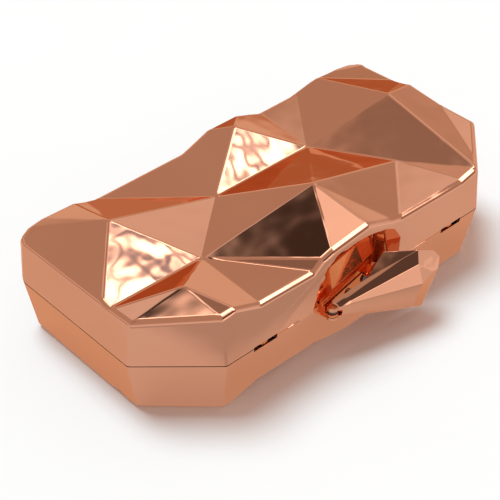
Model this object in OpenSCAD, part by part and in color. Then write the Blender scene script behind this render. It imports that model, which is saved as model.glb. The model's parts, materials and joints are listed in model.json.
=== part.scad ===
// Minaudiere: a hard evening clutch of two faceted shells on a hinged metal frame, with a crystal pull clasp.
// The origin lies on the lower rest face, under the middle of the outline.
// +X runs along the case, -Y is the clasp side, +Y is the hinge side and +Z is up.

/* [Case] */
// Length of the case at the seam
case_l = 190; // [170:1:220]
// Width of the case at the seam
case_w = 95; // [88:1:110]
// Height of the seam above the surface the case rests on
base_h = 25.3; // [24.6:0.1:27]
// Depth of the base wall under the seam, where the relief is level with the rim
base_rim_h = 21.8; // [21:0.1:23.6]
// Height of the lid wall over the seam, where the relief is level with the rim
lid_rim_h = 18; // [17:0.1:24]
// Height of the tallest facet peak over the level rim
relief_h = 10.5; // [9:0.1:12]
// Wall thickness of the shells
wall_t = 1.6; // [1.2:0.1:2]
// Thickness of the faceted faces, measured straight up
crown_t = 1.75; // [1.4:0.05:2.2]
// Lean of the lid walls
lid_draft = 3.5; // [1:0.5:5]
// Lean of the base walls
base_draft = 9.3; // [6:0.1:10]
// Gap between the two shells along the seam
seam_gap = 0.4; // [0.2:0.05:0.6]

/* [Corners] */
// Cut of the two corners beside the clasp, along the case
chamfer_x = 26.2; // [20:0.1:30]
// Cut of the two corners beside the clasp, across the case
chamfer_y = 23.9; // [18:0.1:28]
// Radius of the two hinge-side corners, along the case
corner_x = 14; // [10:0.5:18]
// Radius of the two hinge-side corners, across the case
corner_y = 7.5; // [5:0.5:10]
// Smallest corner radius of the inner parts
corner_min = 2; // [1:0.5:3]

/* [Frame] */
// Thickness of the two frame plates
frame_t = 1.4; // [1.2:0.1:1.6]
// Distance of the lid frame's inner edge from the outline
lid_frame_in = 9; // [8.6:0.1:9.2]
// Distance of the locating lip's outer face from the outline
lip_out = 9.4; // [9.4:0.1:9.6]
// Thickness of the locating lip
lip_t = 1; // [0.8:0.1:1.2]
// Height of the locating lip over the seam
lip_h = 1.2; // [0.8:0.05:1.2]
// Gap between a frame's outer edge and the shell around it
frame_fit = 0.6; // [0.6:0.05:0.7]
// Radius of the frame screws
screw_r = 0.97; // [0.8:0.01:1.05]
// Radius of the screw heads
screw_head_r = 1.9; // [1.6:0.1:2.2]
// Height of the sunk screw heads
screw_head_h = 0.9; // [0.6:0.1:1]
// Length of the frame screws
screw_l = 6; // [5:0.5:8]
// Radius of the screw bosses inside the shells
boss_r = 2.5; // [2.2:0.1:2.6]
// Distance of the screws and buffers from the outline
screw_in = 5.2; // [5:0.1:5.6]
// Radius of the closing buffers
buffer_r = 2; // [1.5:0.1:2.4]
// Height of a closing buffer over its frame
buffer_proud = 0.35; // [0.2:0.05:0.35]
// Depth of a closing buffer in its frame
buffer_sunk = 0.6; // [0.4:0.1:0.8]

/* [Lining] */
// Thickness of the lining boards
lining_t = 1.3; // [1:0.1:1.8]
// Distance of the lining walls from the outline
lining_in = 11; // [10.9:0.1:14]
// Gap between the linings' floors and the lowest facets
lining_fit = 0.5; // [0.3:0.1:2]
// Thickness of the lining's glued edge
lining_edge_t = 0.8; // [0.6:0.1:1]
// Distance of the lid lining's glued edge from the outline
lid_edge_in = 8.4; // [8.3:0.1:8.6]
// Distance of the base lining's glued edge from the outline
base_edge_in = 9.3; // [9.2:0.1:9.6]

/* [Hinges] */
// Length of each hinge
hinge_l = 24; // [20:1:30]
// Distance of each hinge's middle from the case's end
hinge_end = 45; // [38:1:50]
// Distance of the hinge pins outside the wall
hinge_out = 0.6; // [0.5:0.1:1]
// Outside radius of the knuckles
knuckle_r = 2.2; // [2:0.1:2.2]
// Radius of the hinge pins
hinge_pin_r = 0.9; // [0.8:0.05:1]
// Running clearance round the hinge pins
pin_fit = 0.05; // [0.02:0.01:0.08]
// Gap between neighbouring knuckles
knuckle_gap = 0.3; // [0.2:0.05:0.5]
// Thickness of the hinge leaves
leaf_t = 1; // [0.8:0.1:1]
// Reach of the hinge leaves inside the outline
leaf_in = 7.6; // [7:0.1:8]
// Distance of the hinge rivets from the outline
rivet_in = 5.4; // [5:0.1:5.6]
// Distance of each hinge rivet from the hinge's middle
rivet_x = 7.5; // [6:0.5:8]
// Radius of the rivets
rivet_r = 1; // [0.8:0.05:1.1]
// Radius of the rivet heads
rivet_head_r = 1.7; // [1.5:0.1:2]
// Height of the rivet heads
rivet_head_h = 0.6; // [0.4:0.1:0.8]
// Clearance of the wall notches round the hinges
notch_fit = 0.4; // [0.3:0.05:0.6]

/* [Clasp pocket] */
// Left end of the finger pocket
pocket_l = 25.7; // [24:0.1:27]
// Right end of the finger pocket
pocket_r = 15.7; // [15:0.1:17]
// Place of the pocket's deepest line
pocket_deep_x = 11.4; // [10:0.1:12]
// Depth of the pocket
pocket_d = 6.3; // [5.8:0.1:6.6]
// Half height of the pocket's oval
pocket_ry = 16.4; // [15:0.1:17]
// Height of the oval's middle over the seam
pocket_z = 3.4; // [3:0.1:4]

/* [Clasp] */
// Distance of the lever's pivot left of the middle
pivot_x = 17; // [16:0.1:18]
// Distance of the lever's pivot outside the wall
pivot_out = 1.9; // [1.8:0.1:2.4]
// Length of the crystal lever beyond its pivot
lever_l = 51.5; // [46:0.5:55]
// Reach of the crystal lever outside its pivot
lever_out = 12.6; // [11:0.1:14]
// Height scale of the crystal lever
lever_h = 32; // [28:0.5:34]
// Radius of the clasp pin
clasp_pin_r = 1; // [0.8:0.05:1.1]
// Outside radius of the clasp knuckles
clasp_knuckle_r = 2.3; // [2.1:0.1:2.4]
// Depth of the lever's upper ear under the seam
ear_drop = 0.9; // [0.9:0.1:1.1]
// Height of each ear of the lever
ear_h = 1.4; // [1.2:0.1:1.8]
// Height of the clasp plate's knuckle
clasp_knuckle_h = 2.4; // [2.3:0.1:3]
// Gap round the clasp plate's knuckle
ear_gap = 0.3; // [0.2:0.05:0.4]
// Thickness of the clasp plate
plate_t = 1.2; // [1:0.1:1.4]
// Depth of the clasp plate's top under the seam
plate_top = 1.2; // [1:0.1:1.6]
// Height of the clasp plate
plate_h = 8.8; // [8.4:0.1:9.4]
// Margin between the clasp's plates and the pocket's edge
plate_margin = 0.7; // [0.5:0.1:1]
// Height of the strike bar's lower edge over the seam
strike_z = 0.6; // [0.5:0.1:0.8]
// Height of the strike bar
strike_h = 2.4; // [2:0.1:2.6]
// Thickness of the strike bar
strike_t = 1.6; // [1.2:0.1:1.8]
// Height of the faceted panel's ridge over the seam
ridge_z = 6.4; // [6:0.1:7]
// Thickness of the faceted panel at its ridge
ridge_t = 2.3; // [1.8:0.1:2.5]
// Thickness of the faceted panel at its edges
panel_edge_t = 0.5; // [0.3:0.1:0.6]
// Height of the faceted panel's top over the seam
panel_top = 15.6; // [14:0.1:16]
// Place of the catch bead and nose
catch_x = 5.5; // [5:0.1:6]
// Length of the catch bead and nose
catch_l = 5; // [4:0.1:5]
// Gap between the catch bead and the nose
catch_gap = 0.3; // [0.2:0.05:0.4]
// Reach of the bead outside the wall
bead_out = 0.6; // [0.4:0.1:0.8]
// Radius of the catch bead
bead_r = 0.6; // [0.5:0.1:0.7]
// Radius of the catch nose
nose_r = 0.7; // [0.5:0.1:0.8]
// Radius of the spring wire
spring_wire_r = 0.2; // [0.15:0.05:0.25]

/* [Strap eyes] */
// Distance of the left strap slot from the middle of the case
slot_left_x = 49.6; // [48:0.1:52]
// Distance of the right strap slot from the middle of the case
slot_right_x = 52.8; // [50:0.1:54]
// Length of each strap slot
slot_l = 11.6; // [10:0.1:13]
// Depth of the slots in the base's edge
slot_base_h = 1.5; // [1.4:0.05:1.6]
// Height of the slots in the lid's edge
slot_lid_h = 0.35; // [0.25:0.05:0.5]
// Radius of the strap eyes, to the middle of the wire
eye_r = 2.6; // [2.4:0.1:2.8]
// Radius of the strap eyes' wire
eye_wire_r = 0.6; // [0.5:0.05:0.6]
// Distance of the strap eyes' middle from the outline
eye_in = 3.6; // [3.5:0.1:3.8]
// Width of the strap eyes' tails
eye_tail_w = 3; // [2.4:0.1:3.4]
// Thickness of the strap eyes' tails
eye_tail_t = 0.9; // [0.8:0.05:1]

/* [Hidden] */

// How far a cut runs past what it cuts
overrun = 1;
half_l = case_l / 2;
half_w = case_w / 2;
hinge_x = half_l - hinge_end;
half_gap = seam_gap / 2;
round_fn = 48;
rose = [0.86, 0.60, 0.47];
rose_dark = [0.72, 0.42, 0.30];
brass = [0.83, 0.66, 0.42];
velvet = [0.16, 0.13, 0.13];

// Outline: the corners run from the left end of the clasp side, seen from above and against the clock
corner_n = 3;
right_arc = 3;
left_arc = right_arc + corner_n + 1;
corner_count = left_arc + corner_n + 2;

function cut_share(d) = 1 - d * (1 / chamfer_x + 1 / chamfer_y - sqrt(pow(chamfer_x, -2) + pow(chamfer_y, -2)));

function corner_arc(middle, radii, start) =
    [for (i = [0:corner_n]) let (a = start + 90 * i / corner_n) middle + [radii.x * cos(a), radii.y * sin(a)]];

function outline(d) =
    let (a = half_l - d, b = half_w - d, m = cut_share(d))
    let (r = [max(corner_x - d, corner_min), max(corner_y - d, corner_min)])
    concat([[m * chamfer_x - a, -b], [a - m * chamfer_x, -b], [a, m * chamfer_y - b]],
        corner_arc([a - r.x, b - r.y], r, 0),
        corner_arc([r.x - a, b - r.y], r, 90),
        [[-a, m * chamfer_y - b]]);

// Relief: each rim row holds the corner before it, how far it lies towards the next corner,
// and its height in the lid and in the base as shares of the relief over the level rim
front_rim_shares = [[0, 0, 0.33, 0.15], [0, 0.058, 0.4, 0.2], [0, 0.131, 0.05, -0.06], [0, 0.342, -0.04, 0.02],
    [0, 0.382, 0.32, 0], [0, 0.538, 0.55, 0.32], [0, 0.642, 0.07, 0.2], [0, 0.935, 0.01, 0.32], [1, 0, 0.14, 0.3]];
right_rim_shares = [[2, 0, 0.16, 0.26], [2, 0.4, 0.17, 0.2], [2, 0.583, 0.29, 0.25], [2, 0.675, 0.12, 0.15]];
back_rim_shares = [[0.086, 0.16, 0.15], [0.136, -0.01, 0], [0.289, -0.05, -0.03], [0.352, 0.29, 0.25],
    [0.491, 0.28, 0.25], [0.553, -0.12, -0.1], [0.858, -0.16, -0.12], [0.902, 0.09, 0.08]];
left_rim_share = [0.818, 0.14, 0.12];
left_corner_share = [0.09, 0.05];
right_arc_shares = [[0.06, 0.1], [0.18, 0.15]];
left_arc_shares = [[0.13, 0.1], [0.06, 0.05]];

function arc_rows(first, ends) = [for (i = [0:corner_n]) let (s = ends[0] + (ends[1] - ends[0]) * i / corner_n)
    [first + i, 0, s[0], s[1]]];

rim_shares = concat(front_rim_shares, right_rim_shares, arc_rows(right_arc, right_arc_shares),
    [for (r = back_rim_shares) [left_arc - 1, r[0], r[1], r[2]]], arc_rows(left_arc, left_arc_shares),
    [[corner_count - 2, left_rim_share[0], left_rim_share[1], left_rim_share[2]]],
    [[corner_count - 1, 0, left_corner_share[0], left_corner_share[1]]]);
rim_n = len(rim_shares);

// The nine inner points, as shares of half the length, of half the width and of the relief
inner_shares = [[-0.7, 0.44, 0.77], [-0.5, -0.21, -0.23], [-0.195, 0.307, -0.18], [0.042, -0.35, 1],
    [0.341, 0.309, -0.18], [0.112, 0.75, 0.73], [0.526, -0.388, -0.03], [0.8, 0.225, 0.68], [-0.728, -0.532, 0.59]];

// Names of the points that the facets join
front = 0;
right = front + len(front_rim_shares);
right_bend = right + len(right_rim_shares);
back = right_bend + corner_n + 1;
left_bend = back + len(back_rim_shares);
left = left_bend + corner_n + 1;
hill_w = rim_n;
dip_w = rim_n + 1;
dip_n = rim_n + 2;
hill_mid = rim_n + 3;
dip_e = rim_n + 4;
hill_n = rim_n + 5;
dip_s = rim_n + 6;
hill_e = rim_n + 7;
hill_sw = rim_n + 8;
turn = 3;

facets = concat(
    [[left + 1, front, hill_sw], [front, front + 1, hill_sw], [front + 1, front + 2, hill_sw],
    [hill_sw, front + 2, dip_w], [hill_sw, dip_w, left], [left + 1, hill_sw, left], [left, dip_w, hill_w],
    [hill_w, dip_w, dip_n], [left_bend + corner_n, left, hill_w], [hill_w, dip_n, back + 6],
    [hill_w, back + 6, back + 7], [hill_w, back + 7, left_bend], [dip_n, back + 5, back + 6],
    [dip_n, hill_n, back + 5], [hill_n, back + 4, back + 5], [hill_n, back + 3, back + 4],
    [hill_n, back + 2, back + 3], [hill_n, dip_e, back + 2], [dip_n, dip_e, hill_n], [dip_n, hill_mid, dip_e],
    [dip_n, dip_w, hill_mid], [dip_w, front + 4, hill_mid], [dip_w, front + 3, front + 4],
    [dip_w, front + 2, front + 3], [hill_mid, front + 4, front + 5], [hill_mid, front + 5, front + 6],
    [hill_mid, front + 6, dip_s], [hill_mid, dip_s, dip_e], [dip_e, dip_s, hill_e], [dip_s, front + 8, hill_e],
    [dip_s, front + 7, front + 8], [dip_s, front + 6, front + 7], [hill_e, front + 8, right + 2],
    [front + 8, right + 1, right + 2], [front + 8, right, right + 1], [hill_e, right + 2, right + 3],
    [hill_e, right + 3, back], [dip_e, hill_e, back], [dip_e, back, back + 1], [dip_e, back + 1, back + 2]],
    [for (i = [0:corner_n - 1]) [hill_w, left_bend + i, left_bend + i + 1]],
    [for (i = [0:corner_n - 1]) [back, right_bend + i, right_bend + i + 1]],
    [[back, right + 3, right_bend]]);

// One rim point at its height over the seam, a little outside the walls
function rim_point(row, column, rim, sink) =
    let (corners = outline(-overrun), p = corners[row[0]], q = corners[(row[0] + 1) % corner_count])
    concat(p + (q - p) * row[1], rim + relief_h * row[column] - sink);

// The block's side under the rim points of one side of the outline, as a fan from its lower corner
function side_faces(i) =
    let (rows = [for (k = [0:rim_n - 1]) if (rim_shares[k][0] == i) k], last = (rows[len(rows) - 1] + 1) % rim_n)
    let (ring = concat(rows, [last]))
    concat([[i, (i + 1) % corner_count, corner_count + last]],
        [for (k = [0:len(rows) - 1]) [i, corner_count + ring[k + 1], corner_count + ring[k]]]);

// A block over the seam with the faceted relief as its top, wider than the case
module relief_block(column, rim, sink, foot) {
    low = [for (p = outline(-overrun)) concat(p, foot)];
    ring = [for (row = rim_shares) rim_point(row, column, rim, sink)];
    inner = [for (s = inner_shares) [s[0] * half_l, s[1] * half_w, rim + relief_h * s[2] - sink]];
    faces = concat([[for (i = [corner_count - 1:-1:0]) i]],
        [for (i = [0:corner_count - 1]) for (f = side_faces(i)) f],
        [for (f = facets) [for (k = f) k + corner_count]]);
    polyhedron(concat(low, ring, inner), [for (f = faces) [for (k = [len(f) - 1:-1:0]) f[k]]]);
}

// The space outside one leaning wall
module outside_wall(p, q, draft, inset) {
    translate([p.x, p.y, 0]) rotate([0, 0, atan2(q.y - p.y, q.x - p.x)]) translate([-case_l, inset, 0])
        rotate([-draft, 0, 0]) translate([0, -case_w, -case_w]) cube([3 * case_l, case_w, 3 * case_w]);
}

// A faceted block over the seam with leaning walls
module faceted_block(column, rim, draft, inset, sink, foot) {
    corners = outline(0);
    difference() {
        relief_block(column, rim, sink, foot);
        for (i = [0:corner_count - 1]) outside_wall(corners[i], corners[(i + 1) % corner_count], draft, inset);
    }
}

// Places and directions that several parts share
screw_share = 0.37;
slant = atan(pocket_d / (pocket_deep_x + pocket_l));
screw_places = let (c = outline(screw_in))
    [(c[0] + c[corner_count - 1]) / 2, (c[1] + c[2]) / 2, c[right_arc + 2] - [boss_r, 0],
    c[left_arc + 1] + [boss_r, 0], [-half_l * screw_share, screw_in - half_w],
    [half_l * screw_share, screw_in - half_w]];
buffer_places = [[screw_in - half_l, 0], [half_l - screw_in, 0]];
eye_places = [-slot_left_x, slot_right_x];
axis_y = half_w + hinge_out;
// Clearance of the rivets in their holes
rivet_fit = 0.02;
// Distance of the strap eyes' rivets from the outline
eye_rivet_in = 8;
frame_low = half_gap + frame_t;
pocket_run = pocket_deep_x + pocket_l;

module over_seam() translate([0, 0, base_h]) children();
module under_seam() translate([0, 0, base_h]) mirror([0, 0, 1]) children();

// Prism between two heights
module slab(points, z0, z1) translate([0, 0, z0]) linear_extrude(z1 - z0) polygon(points);

module band(outer, inner, z0, z1) {
    difference() {
        slab(outline(outer), z0, z1);
        slab(outline(inner), z0 - overrun, z1 + overrun);
    }
}

// Upright round bar between two heights
module post(place, r, z0, z1) translate([place.x, place.y, z0]) cylinder(h = z1 - z0, r = r, $fn = round_fn);

// The oval front of the pocket, drawn from the front, with its level end on the right
function pocket_front(grow) =
    let (rx = pocket_l + grow, ry = pocket_ry + grow, cut = acos((pocket_r + grow) / rx))
    [for (i = [0:round_fn]) let (a = cut + (360 - 2 * cut) * i / round_fn) [rx * cos(a), pocket_z + ry * sin(a)]];

module through_front(points) rotate([90, 0, 0]) linear_extrude(case_w) polygon(points);

// Place of the pocket's slanted back at a place along the case, or of a layer behind it
function back_y(x, behind = 0) = pocket_d * (x + pocket_l) / pocket_run - half_w + behind / cos(slant);

// The pocket's hollow, grown by the wall that surrounds it
module pocket(grow) {
    deep_x = pocket_deep_x + grow / 2;
    intersection() {
        slab([[-pocket_l - grow, -case_w], [pocket_r + grow, -case_w], [pocket_r + grow, grow - half_w],
            [deep_x, back_y(deep_x, grow)], [-pocket_l - grow, back_y(-pocket_l - grow, grow)]], -case_w, case_w);
        through_front(pocket_front(grow));
    }
}

// Frame on the pocket's slanted back: x runs along it, -y stands out from it
module at_pocket_back(x) translate([x, back_y(x), 0]) rotate([0, 0, slant]) children();

// A bar along the pocket's back with the given profile of places outward and up, trimmed to the pocket's oval
module on_pocket_back(x0, profile) {
    intersection() {
        at_pocket_back(x0) rotate([90, 0, 90]) linear_extrude((pocket_deep_x - plate_margin - x0) / cos(slant))
            polygon(profile);
        through_front(pocket_front(-plate_margin));
    }
}

module slot_cuts(h) {
    for (x = eye_places)
        translate([x - slot_l / 2, -half_w - overrun, half_gap - overrun])
            cube([slot_l, screw_in + overrun, h + overrun]);
}

module hinge_notches() {
    for (side = [-1, 1])
        translate([side * hinge_x - hinge_l / 2 - notch_fit, half_w - wall_t - frame_fit - overrun, -overrun])
            cube([hinge_l + 2 * notch_fit, case_w, overrun + frame_low + leaf_t + notch_fit]);
}

// Screw bosses from the frame up to the faceted face
module bosses(z1) for (p = screw_places) post(p, boss_r, frame_low, z1);
module boss_holes() for (p = screw_places) post(p, screw_r, frame_low - overrun, frame_low + screw_l);

module shell(column, rim, draft, slot_h, floor_h) {
    difference() {
        union() {
            difference() {
                faceted_block(column, rim, draft, 0, 0, half_gap);
                intersection() {
                    difference() {
                        faceted_block(column, rim, draft, wall_t, crown_t, half_gap - overrun);
                        children();
                    }
                    slab(outline(0), -overrun, floor_h);
                }
            }
            intersection() {
                faceted_block(column, rim, draft, wall_t / 2, crown_t / 2, half_gap);
                bosses(rim + relief_h);
            }
        }
        boss_holes();
        slot_cuts(slot_h);
        hinge_notches();
    }
}

module base_shell() {
    color(rose) difference() {
        under_seam() shell(3, base_rim_h, base_draft, slot_base_h, base_h - wall_t) mirror([0, 0, 1]) pocket(wall_t);
        over_seam() pocket(0);
        translate([-case_l, -case_w, -case_w]) cube([2 * case_l, 2 * case_w, case_w]);
        for (x = plate_rivet_places) on_back(x, -plate_rivet_z, rivet_r, -2 * wall_t, overrun);
    }
}

module lid_shell() {
    color(rose) difference() {
        over_seam() shell(2, lid_rim_h, lid_draft, slot_lid_h, case_w) pocket(wall_t);
        over_seam() pocket(0);
        for (x = strike_rivet_places) on_back(x, strike_rivet_z, rivet_r, -2 * wall_t, overrun);
    }
}

// The frame plates lie on the bosses, flush with the seam
module frame_plate(inner) {
    difference() {
        band(wall_t + frame_fit, inner, half_gap, frame_low);
        for (p = screw_places) {
            post(p, screw_r, half_gap - overrun, frame_low + overrun);
            translate([p.x, p.y, half_gap]) cylinder(h = screw_head_h, r1 = screw_head_r, r2 = screw_r, $fn = round_fn);
        }
        for (side = [-1, 1]) for (end = [-1, 1])
            post([side * hinge_x + end * rivet_x, half_w - rivet_in], rivet_r, 0, frame_low + overrun);
        hinge_slots();
    }
}

// Room in the frames for the knuckles
module hinge_slots() {
    for (side = [-1, 1])
        translate([side * hinge_x - hinge_l / 2 - notch_fit, axis_y - knuckle_r - notch_fit, -overrun])
            cube([hinge_l + 2 * notch_fit, case_w, frame_low + 2 * overrun]);
}

module base_frame() {
    color(brass) difference() {
        union() {
            under_seam() frame_plate(lip_out + lip_t);
            under_seam() band(lip_out, lip_out + lip_t, -lip_h, frame_low);
        }
        under_seam() mirror([0, 0, 1]) pocket(wall_t + frame_fit);
        over_seam() pocket(wall_t + frame_fit);
        under_seam() for (x = eye_places) eye_room(x);
        under_seam() for (p = buffer_places) post(p, buffer_r, half_gap - overrun, half_gap + buffer_sunk);
    }
}

module lid_frame() {
    color(brass) difference() {
        over_seam() frame_plate(lid_frame_in);
        over_seam() pocket(wall_t + frame_fit);
    }
}

// Linings: trays of thin board under the frames
module lining_tray(rim, edge_in) {
    h = rim + relief_h * min([for (s = inner_shares) s[2]]) - crown_t - lining_fit;
    difference() {
        union() {
            slab(outline(lining_in), frame_low, h);
            slab(outline(edge_in), frame_low, frame_low + lining_edge_t);
        }
        slab(outline(lining_in + lining_t), frame_low - overrun, h - lining_t);
    }
}

module base_lining() color(velvet) under_seam() lining_tray(base_rim_h, base_edge_in);
module lid_lining() color(velvet) over_seam() lining_tray(lid_rim_h, lid_edge_in);

module frame_screws() {
    for (p = screw_places) {
        translate([p.x, p.y, half_gap]) cylinder(h = screw_head_h, r1 = screw_head_r, r2 = screw_r, $fn = round_fn);
        post(p, screw_r, half_gap, frame_low + screw_l - screw_head_h);
    }
}

module base_frame_screws() color(brass) under_seam() frame_screws();
module lid_frame_screws() color(brass) over_seam() frame_screws();

module closing_buffers() {
    color("dimgray") under_seam() for (p = buffer_places)
        post(p, buffer_r, half_gap - buffer_proud, half_gap + buffer_sunk);
}

// Hinges: the base leaf holds the two outer knuckles and the lid leaf holds the middle one
knuckle_l = (hinge_l - 2 * knuckle_gap) / 3;
knuckle_step = knuckle_l + knuckle_gap;

module knuckle(x, grow) translate([x - knuckle_l / 2, axis_y, 0]) rotate([0, 90, 0])
    cylinder(h = knuckle_l, r = knuckle_r + grow, $fn = round_fn);

module leaf(side, steps) {
    difference() {
        union() {
            translate([side * hinge_x - hinge_l / 2, half_w - leaf_in, frame_low])
                cube([hinge_l, leaf_in + hinge_out - knuckle_r - notch_fit, leaf_t]);
            for (s = steps) {
                knuckle(side * hinge_x + s * knuckle_step, 0);
                translate([side * hinge_x + s * knuckle_step - knuckle_l / 2, half_w - leaf_in, frame_low])
                    cube([knuckle_l, leaf_in + hinge_out, leaf_t]);
            }
        }
        translate([side * hinge_x - hinge_l, axis_y, 0]) rotate([0, 90, 0])
            cylinder(h = 2 * hinge_l, r = hinge_pin_r + pin_fit, $fn = round_fn);
        for (end = [-1, 1])
            post([side * hinge_x + end * rivet_x, half_w - rivet_in], rivet_r, 0, frame_low + leaf_t + overrun);
    }
}

module hinge_pin(side) {
    translate([side * hinge_x - hinge_l / 2, axis_y, base_h]) rotate([0, 90, 0])
        cylinder(h = hinge_l, r = hinge_pin_r, $fn = round_fn);
}

module hinge_rivets() {
    for (side = [-1, 1]) for (end = [-1, 1]) {
        place = [side * hinge_x + end * rivet_x, half_w - rivet_in];
        post(place, rivet_r - rivet_fit, half_gap, frame_low + leaf_t);
        post(place, rivet_head_r, frame_low + leaf_t, frame_low + leaf_t + rivet_head_h);
    }
}

module left_hinge_base_leaf() color(brass) under_seam() leaf(-1, [-1, 1]);
module right_hinge_base_leaf() color(brass) under_seam() leaf(1, [-1, 1]);
module left_hinge_lid_leaf() color(brass) over_seam() leaf(-1, [0]);
module right_hinge_lid_leaf() color(brass) over_seam() leaf(1, [0]);
module left_hinge_pin() color("silver") hinge_pin(-1);
module right_hinge_pin() color("silver") hinge_pin(1);
module base_hinge_rivets() color("silver") under_seam() hinge_rivets();
module lid_hinge_rivets() color("silver") over_seam() hinge_rivets();

// Strap eyes: rings behind the seam slots, with tails riveted into the base frame
module eye_room(x) {
    translate([x - slot_l / 2, -half_w, -overrun]) cube([slot_l, eye_in + eye_r + 2 * eye_wire_r, frame_low + 2 * overrun]);
    translate([x - eye_tail_w / 2 - rivet_fit, -half_w, half_gap - overrun])
        cube([eye_tail_w + 2 * rivet_fit, lip_out, overrun + eye_tail_t]);
    post([x, eye_rivet_in - half_w], rivet_r / 2, 0, frame_low + overrun);
}

module strap_eye(x) {
    difference() {
        union() {
            translate([x, eye_in - half_w, half_gap + eye_wire_r]) rotate_extrude($fn = round_fn)
                translate([eye_r, 0]) circle(r = eye_wire_r, $fn = 24);
            translate([x - eye_tail_w / 2, eye_in + eye_r - half_w, half_gap])
                cube([eye_tail_w, lip_out - eye_in - eye_r, eye_tail_t]);
        }
        post([x, eye_rivet_in - half_w], rivet_r / 2, 0, frame_low + overrun);
    }
}

module left_strap_eye() color(rose) under_seam() strap_eye(eye_places[0]);
module right_strap_eye() color(rose) under_seam() strap_eye(eye_places[1]);
module strap_eye_rivets() {
    color("silver") under_seam() for (x = eye_places) {
        post([x, eye_rivet_in - half_w], rivet_r / 2 - rivet_fit, half_gap, frame_low);
        post([x, eye_rivet_in - half_w], rivet_r, frame_low, frame_low + rivet_head_h);
    }
}

// Clasp: a plate in the lower half of the pocket carries the knuckle that the lever's two ears hold
pivot = [-pivot_x, -half_w - pivot_out];
knuckle_top = ear_drop + ear_h + ear_gap;
knuckle_foot = knuckle_top + clasp_knuckle_h;
ear_foot = knuckle_foot + ear_gap + ear_h;
plate_rivet_places = [-4.1, 6.4];
plate_rivet_z = 4.6;
strike_rivet_places = [-9, 6];
strike_rivet_z = 8.5;

// A round bar square to the pocket's back, between two distances outward from it
module on_back(x, z, r, from, to) {
    at_pocket_back(x) translate([0, -from, base_h + z]) rotate([90, 0, 0]) cylinder(h = to - from, r = r, $fn = round_fn);
}

module clasp_plate() {
    color(rose_dark) difference() {
        union() {
            over_seam() on_pocket_back(-pivot_x - clasp_knuckle_r, [[0, -plate_top], [-plate_t, -plate_top],
                [-plate_t, -plate_top - plate_h], [0, -plate_top - plate_h]]);
            under_seam() post(pivot, clasp_knuckle_r, knuckle_top + coil_room, knuckle_foot);
            under_seam() translate([-pivot_x - clasp_knuckle_r, pivot.y, knuckle_top + coil_room])
                cube([2 * clasp_knuckle_r, back_y(-pivot_x - clasp_knuckle_r) - pivot.y, clasp_knuckle_h - coil_room]);
        }
        under_seam() {
            post(pivot, clasp_pin_r + pin_fit, 0, ear_foot + overrun);
            post(pivot, clasp_knuckle_r + ear_gap, 0, knuckle_top + coil_room);
            post(pivot, clasp_knuckle_r + ear_gap, knuckle_foot, ear_foot + overrun);
        }
        for (x = plate_rivet_places) on_back(x, -plate_rivet_z, rivet_r, -overrun, plate_t + overrun);
    }
}

module clasp_plate_rivets() {
    color("silver") for (x = plate_rivet_places) {
        on_back(x, -plate_rivet_z, rivet_r - rivet_fit, -wall_t, plate_t);
        on_back(x, -plate_rivet_z, rivet_head_r, plate_t, plate_t + rivet_head_h);
        on_back(x, -plate_rivet_z, rivet_head_r, -wall_t - rivet_head_h, -wall_t);
    }
}

module clasp_pin() {
    color("silver") under_seam() {
        post(pivot, clasp_pin_r, ear_drop, ear_foot);
        post(pivot, rivet_head_r, ear_foot, ear_foot + rivet_head_h);
    }
}

// Torsion spring over the knuckle: a coil round the pin, with one leg on the plate and one on the lever
spring_turns = 2;
spring_steps = 16;
spring_pitch = 2.1;
spring_leg = back_y(-pivot_x - clasp_knuckle_r) - plate_t / cos(slant) - pivot.y;
coil_room = spring_wire_r * (2 + spring_pitch * spring_turns);
coil_r = clasp_knuckle_r - 2 * spring_wire_r;

module clasp_spring() {
    steps = spring_turns * spring_steps;
    ring_n = 8;
    points = [for (i = [-1:steps + 1])
        let (turn_i = min(max(i, 0), steps), a = 180 + 360 * turn_i / spring_steps)
        let (leg = i < 0 ? -spring_leg : i > steps ? spring_leg : 0)
        for (k = [0:ring_n - 1]) let (b = 360 * k / ring_n, r = coil_r + spring_wire_r * cos(b))
            [r * cos(a) - leg * sin(a), r * sin(a) + leg * cos(a),
                knuckle_top + spring_wire_r * (1 + spring_pitch * turn_i / spring_steps + sin(b))]];
    sides = [for (i = [0:steps + 1]) for (k = [0:ring_n - 1]) let (n = (k + 1) % ring_n)
        [i * ring_n + k, i * ring_n + n, (i + 1) * ring_n + n, (i + 1) * ring_n + k]];
    ends = [[for (k = [ring_n - 1:-1:0]) k], [for (k = [0:ring_n - 1]) (steps + 2) * ring_n + k]];
    color("silver") under_seam() translate([pivot.x, pivot.y, 0]) polyhedron(points, concat(sides, ends));
}

// Crystal lever: its corners as shares of its length, of its reach and of its height scale
neck_shares = [[-0.02, 0.03, 0.05], [0.005, 0.125, 0.04], [0.015, 0.23, 0], [0.03, 0.19, -0.15],
    [0.04, 0.15, -0.21], [0.02, 0.03, -0.21]];
bend_share = [0.315, 0.18, 0.155];
wing_share = [0.525, 0.01, 0.33];
crest_share = [0.77, 0.52, 0.265];
back_shares = [[0.915, 0.3, 0.06], [0.845, 0.3, -0.53], [0.6, 0.11, -0.39]];
head_shares = [[0.725, 0.745, 0.13], [0.725, 0.995, -0.115], [0.85, 0.925, -0.05], [0.915, 0.915, -0.07],
    [0.96, 0.785, 0], [0.98, 0.725, 0.03], [0.935, 0.595, 0.135], [0.845, 0.91, -0.22], [0.69, 0.92, -0.29],
    [0.695, 0.815, -0.5], [0.81, 0.73, -0.62]];

module lever_hull(shares) hull() polyhedron([for (s = shares) [s[0] * lever_l - pivot_x,
    pivot.y - s[1] * lever_out, s[2] * lever_h]], [[for (i = [0:len(shares) - 1]) i]]);

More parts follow.
